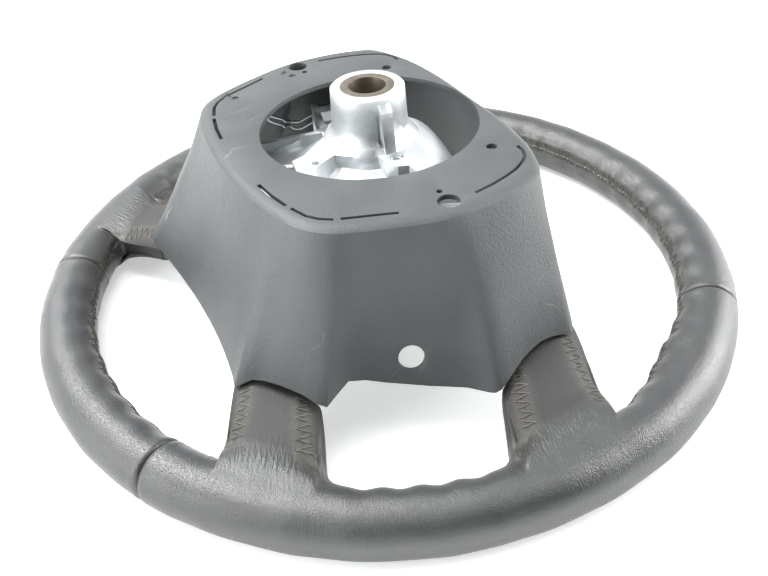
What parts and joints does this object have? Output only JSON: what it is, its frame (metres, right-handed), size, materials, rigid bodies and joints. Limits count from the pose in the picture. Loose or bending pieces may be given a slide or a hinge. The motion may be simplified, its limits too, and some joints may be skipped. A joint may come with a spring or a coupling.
{
  "type": "car steering wheel",
  "caption": "Leather-wrapped car steering wheel with four spokes, a cast hub with a splined steel insert and a deep plastic rear cover.",
  "frame": {"origin": "on the table plane under the hub axis, at the middle of the rim", "axes": "+Z along the hub axis towards the steering column, +Y towards 12 o'clock, +X to the right seen from the column side"},
  "size_m": [0.3856, 0.3744, 0.126],
  "materials": {
    "cast_aluminium": "as cast, satin",
    "insert_steel": "turned, dull",
    "foam": "moulded skin",
    "leather": "fine grain, worn",
    "cover_plastic": "fine moulded texture",
    "screw_steel": "zinc plated"
  },
  "bodies": {
    "root": {"armature": "cast_aluminium", "hub_insert": "insert_steel", "foam_body": "foam", "leather_top": "leather", "leather_bottom": "leather", "leather_left": "leather", "leather_right": "leather", "rear_cover": "cover_plastic", "cover_screws": "screw_steel"}
  },
  "joints": []
}
